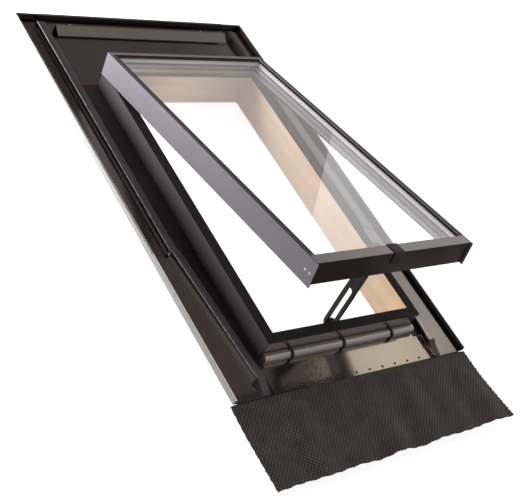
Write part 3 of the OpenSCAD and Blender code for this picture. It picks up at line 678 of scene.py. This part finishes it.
def dress_side_flashing(node):
    side = -1 if "left" in node else 1
    layers = 2 if "upper" in node else 1
    foot = PLATE_FOOT + layers * SHEET
    edge = max(abs(corner.x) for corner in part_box(node))
    piece = copy_of_node(node)
    round_edges(piece, fold_line(foot), FOLD_ROUNDING, 3)
    if "upper" in node:
        cut_across(piece, side * RIB_MIDDLE)
    smooth_folds(piece)
    # On the left the hem shows the sheet's pale back; on the right its inner face is painted black
    # as shade
    hem_faces_finish = sheet_back if side < 0 else black_and_painted_shade
    wear(piece, sheet_lacquer, hem_faces_finish, rib_top_shaded_lacquer, channel_painted_shade, upstand_shaded_lacquer, rib_edge_painted_highlight)
    for face in piece.data.polygons:
        face.material_index = bend_of(face, side, edge, foot)


# Tail of a rib: the fold is hammered flat from the end of the rib to the edge of the sill plate

TAIL_MIDDLE = 0.2565
TAIL_STOP = 0.0015
TAIL_SLANT = 0.0015
TAIL_TAPER = 0.27
TAIL_CRUSH = 0.84
TAIL_DENTS = 0.0011


def make_rib_tail(side, name, finish):
    start = RIB_END
    end = PLATE_EDGE + TAIL_STOP
    foot = PLATE_FOOT + 2 * SHEET
    middle = side * TAIL_MIDDLE
    bpy.ops.object.select_all(action="DESELECT")
    bpy.ops.mesh.primitive_cube_add(size=1)
    piece = bpy.context.object
    piece.name = name
    bpy.ops.object.mode_set(mode="EDIT")
    bpy.ops.transform.resize(value=(RIB_FOOT, start - end, RIB_HEIGHT))
    bpy.ops.transform.translate(value=(middle, (start + end) / 2, foot + RIB_HEIGHT / 2))
    bpy.ops.mesh.subdivide(number_cuts=5)
    bpy.ops.object.mode_set(mode="OBJECT")
    for vertex in piece.data.vertices:
        place = vertex.co
        down = (start - place.y) / (start - end)
        rise = (place.z - foot) / RIB_HEIGHT
        slant = side * TAIL_SLANT * (1 - 2 * down)
        crush = TAIL_CRUSH * math.sin(down * math.pi / 2)
        place.x = middle + (place.x - middle) * (1 - TAIL_TAPER * rise) + slant
        place.z = foot + (place.z - foot) * (1 - crush)
    clear_choice(piece, "VERT")
    for vertex in piece.data.vertices:
        vertex.select = vertex.co.z > foot + 0.001 and vertex.co.y < start - 0.004
    bpy.ops.object.mode_set(mode="EDIT")
    bpy.ops.transform.vertex_random(offset=TAIL_DENTS, uniform=0.3, normal=0.7, seed=5)
    bpy.ops.object.mode_set(mode="OBJECT")
    soften(piece, 0.0006)
    wear(piece, finish)
    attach(piece, "root")


# Apron: a dimpled, slightly wavy sheet tucked flat under the sill plate

APRON_COLUMNS = 296
APRON_ROWS = 97
PRESSED = 0.0006
TUCK_INSET = 0.012
WAVE_HEIGHT = 0.0021
WAVE_SINK = 0.002
CORNER_LIFT = 0.017
DIMPLE_DEPTH = 0.0008


def make_apron():
    low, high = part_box("apron")
    tucked_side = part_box("right_flashing_lower")[1].x - TUCK_INSET
    bpy.ops.object.select_all(action="DESELECT")
    bpy.ops.mesh.primitive_grid_add(x_subdivisions=APRON_COLUMNS, y_subdivisions=APRON_ROWS, size=1)
    piece = bpy.context.object
    piece.name = "apron_sheet"
    bpy.ops.object.mode_set(mode="EDIT")
    bpy.ops.transform.resize(value=(high.x - low.x, high.y - low.y, 1))
    bpy.ops.transform.translate(value=(0, (low.y + high.y) / 2, high.z))
    bpy.ops.object.mode_set(mode="OBJECT")
    for vertex in piece.data.vertices:
        place = vertex.co
        down = PLATE_EDGE - place.y
        # What lies under the plate is pressed flat and drawn in
        if down < 0.0005:
            place.x *= tucked_side / high.x
            place.z -= PRESSED
            continue
        # Two waves that grow below the plate, and a lift towards the free right corner
        reach = down / (PLATE_EDGE - low.y)
        fall = min(1, down / 0.07)
        wave = math.sin(place.x * 61 + 1.3 + down * 5)
        wave += 0.6 * math.sin(place.x * 37 + 4.0 - down * 8)
        lift = CORNER_LIFT * reach ** 1.3 * max(0, (place.x + 0.25) / 0.6) ** 1.4
        place.z += fall * (WAVE_HEIGHT * wave - WAVE_SINK) + lift
        dimple = math.cos(place.x * DIMPLE_TURN) * math.cos(place.y * DIMPLE_TURN)
        place.z += min(1, down / 0.01) * DIMPLE_DEPTH * dimple
        # Ragged lower edge and sides
        ragged = 0.0016 * math.sin(place.x * 47 + 2) + 0.0008 * math.sin(place.x * 181)
        place.y += reach ** 4 * ragged
        side_ragged = math.copysign(0.0006, place.x) * math.sin(place.y * 340)
        place.x += abs(place.x / high.x) ** 60 * side_ragged
    thick = piece.modifiers.new("thickness", "SOLIDIFY")
    thick.thickness = high.z - low.z - PRESSED
    thick.offset = -1
    make_active(piece)
    bpy.ops.object.modifier_apply(modifier="thickness")
    bpy.ops.object.shade_smooth_by_angle(angle=APRON_ANGLE)
    wear(piece, apron_rubber)
    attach(piece, "root")
    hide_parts("apron")


set_camera()
set_studio()

# Lacquered sheet, from the head to the sill
sheet_lacquer = weathered(
    "sheet_lacquer", dark=(0.20, 0.178, 0.17), light=(0.235, 0.21, 0.20),
    speck=(0.25, 0.225, 0.215), metallic=1.0, rough=(0.12, 0.18), bump=0.03)
head_lacquer = weathered(
    "head_lacquer", dark=(0.275, 0.245, 0.242), light=(0.31, 0.276, 0.273),
    speck=(0.33, 0.297, 0.293), metallic=1.0, rough=(0.14, 0.2), bump=0.03)
# Painted shade: a darker, rougher, lavender-tinted copy of the sheet lacquer, for the left rib's
# top only
rib_top_shaded_lacquer = weathered(
    "rib_top_shaded_lacquer", dark=(0.125, 0.112, 0.121), light=(0.155, 0.14, 0.15),
    speck=(0.18, 0.164, 0.175), metallic=1.0, rough=(0.36, 0.44), bump=0.03)
upstand_shaded_lacquer = upstand_with_painted_shade()
# Painted highlight: light dashes along the left rib's rounded edges
rib_edge_painted_highlight = weathered(
    "rib_edge_painted_highlight", dark=(0.07, 0.063, 0.067), light=(0.27, 0.248, 0.262),
    speck=(0.4, 0.375, 0.39), metallic=0.6, rough=(0.3, 0.4), bump=0.0, cloud_scale=90.0)
sill_lacquer = weathered(
    "sill_lacquer", dark=(0.23, 0.204, 0.188), light=(0.26, 0.231, 0.213),
    speck=(0.28, 0.25, 0.234), metallic=1.0, rough=(0.11, 0.14), bump=0.03)
bar_lacquer = weathered(
    "bar_lacquer", dark=(0.10, 0.086, 0.077), light=(0.118, 0.102, 0.092),
    speck=(0.14, 0.122, 0.111), metallic=0.95, rough=(0.2, 0.28), bump=0.03)
# The bead's lacquer; the sill's front-facing upstand faces take it as painted shade
bead_and_shade_lacquer = weathered(
    "bead_and_shade_lacquer", dark=(0.25, 0.218, 0.207), light=(0.29, 0.254, 0.242),
    speck=(0.31, 0.274, 0.26), metallic=0.9, rough=(0.22, 0.3), bump=0.03)
# Painted shade: a near-black copy of the lacquer for the left rib's hammered tail
tail_painted_shade = weathered(
    "tail_painted_shade", dark=(0.045, 0.04, 0.042), light=(0.065, 0.057, 0.061),
    speck=(0.08, 0.07, 0.074), metallic=0.9, rough=(0.3, 0.4), bump=0.03)
# Painted shade: a near-black copy of the lacquer for the water channel, the rib's inner walls, the
# cut ends and the right rib's tail
channel_painted_shade = weathered(
    "channel_painted_shade", dark=(0.03, 0.026, 0.026), light=(0.05, 0.044, 0.044),
    speck=(0.06, 0.055, 0.055), metallic=0.9, rough=(0.25, 0.35), bump=0.03)
sheet_back = weathered(
    "sheet_back", dark=(0.46, 0.44, 0.425), light=(0.54, 0.52, 0.505),
    speck=(0.42, 0.40, 0.39), metallic=0.2, rough=(0.4, 0.5))

# Sash and fittings
sash_paint = weathered(
    "sash_paint", dark=(0.18, 0.161, 0.184), light=(0.20, 0.18, 0.204),
    speck=(0.22, 0.20, 0.224), metallic=0.12, rough=(0.38, 0.46))
end_paint = weathered(
    "end_paint", dark=(0.19, 0.162, 0.158), light=(0.22, 0.188, 0.183),
    speck=(0.24, 0.207, 0.2), metallic=0.95, rough=(0.16, 0.22), bump=0.02)
# Painted shade, near black: the right hem, the head hem, the front rail's ends and the side rails'
# fronts; the side rails' tops are black too
black_and_painted_shade = weathered(
    "black_and_painted_shade", dark=(0.016, 0.0125, 0.012), light=(0.026, 0.021, 0.02),
    speck=(0.035, 0.03, 0.029), metallic=0.0, rough=(0.4, 0.5), gloss=0.18)
black_rubber = weathered(
    "black_rubber", dark=(0.007, 0.0055, 0.0055), light=(0.012, 0.0095, 0.0095),
    speck=(0.018, 0.015, 0.015), metallic=0.0, rough=(0.6, 0.75), gloss=0.12)
apron_rubber = dimpled_rubber()
bright_steel = weathered(
    "bright_steel", dark=(0.56, 0.56, 0.57), light=(0.66, 0.66, 0.66),
    speck=(0.45, 0.44, 0.42), metallic=1.0, rough=(0.25, 0.4))
spacer_metal = weathered(
    "spacer_metal", dark=(0.60, 0.575, 0.60), light=(0.66, 0.635, 0.66),
    speck=(0.56, 0.535, 0.56), metallic=0.3, rough=(0.5, 0.6))
black_plastic = weathered(
    "black_plastic", dark=(0.008, 0.008, 0.008), light=(0.013, 0.012, 0.012),
    speck=(0.024, 0.024, 0.024), metallic=0.0, rough=(0.45, 0.6), gloss=0.25)
black_paint = weathered(
    "black_paint", dark=(0.009, 0.0085, 0.0085), light=(0.014, 0.013, 0.013),
    speck=(0.028, 0.027, 0.026), metallic=0.0, rough=(0.4, 0.55), gloss=0.3)
pine_long = pine("pine_long", make_grain_group("grain_up_the_slope", 0))
pine_cross = pine("pine_cross", make_grain_group("grain_across", math.pi / 2))
glass = clear_glass()

# Finish of each material slot, and of the pieces and faces that differ from their slot
FINISH = {
    "pine": pine_long,
    "flashing": sheet_lacquer,
    "sash_metal": sash_paint,
    "black_rubber": black_rubber,
    "apron": apron_rubber,
    "steel": bright_steel,
    "spacer": spacer_metal,
    "black_plastic": black_plastic,
    "black_paint": black_paint,
    "glass": glass,
}
OWN_FINISH = {
    "keeper_peg": black_paint,
    "frame_head": pine_cross,
    "frame_sill": pine_cross,
    "sash_head_rail": end_paint,
    "sash_front_rail": end_paint,
    "sill_bead": bead_and_shade_lacquer,
    "sill_flashing": sill_lacquer,
    "head_bar": bar_lacquer,
    "head_flashing": head_lacquer,
}
# Faces painted in a second colour: painted shade on faces the light doesn't reach; the side rails'
# tops are black too
SECOND_FINISH = {
    "sash_front_rail": (black_and_painted_shade, is_rail_end),
    "sash_left_rail": (black_and_painted_shade, is_rail_top_or_front),
    "sash_right_rail": (black_and_painted_shade, is_rail_top_or_front),
    "sill_flashing": (bead_and_shade_lacquer, is_sill_upstand),
    "head_flashing": (black_and_painted_shade, is_head_hem),
}

# Widths of the rounded edges, in metres
SOFT_EDGES = {
    "frame_left": 0.0012,
    "frame_right": 0.0012,
    "frame_head": 0.0012,
    "frame_sill": 0.0012,
    "frame_gasket": 0.0008,
    "head_bar": 0.0004,
    "sill_flashing": 0.0003,
    "head_flashing": 0.0003,
    "sill_bead": 0.0004,
    "sill_clips": 0.0005,
    "stay_keeper": 0.0006,
    "stay_bracket": 0.0006,
    "stay_arm": 0.0012,
    "glass_clip": 0.0007,
    "glazing_gasket": 0.0006,
    "sash_left_rail": 0.0005,
    "sash_right_rail": 0.0005,
    "sash_head_rail": 0.0005,
    "sash_front_rail": 0.0005,
}

SLOT = {}
for entry in frame["record"]["subparts"]:
    node = entry["node"]
    SLOT[node] = entry["material_slot"]
    wear(nodes_of_cad[node], OWN_FINISH.get(node, FINISH[SLOT[node]]))

for node, rounding in SOFT_EDGES.items():
    dress_node(node, rounding)

for length in ("upper", "lower"):
    for hand in ("left", "right"):
        dress_side_flashing(hand + "_flashing_" + length)

# Both rib tails are coloured near black as painted shade
make_rib_tail(-1, "left_rib_tail", tail_painted_shade)
make_rib_tail(1, "right_rib_tail", channel_painted_shade)
make_apron()
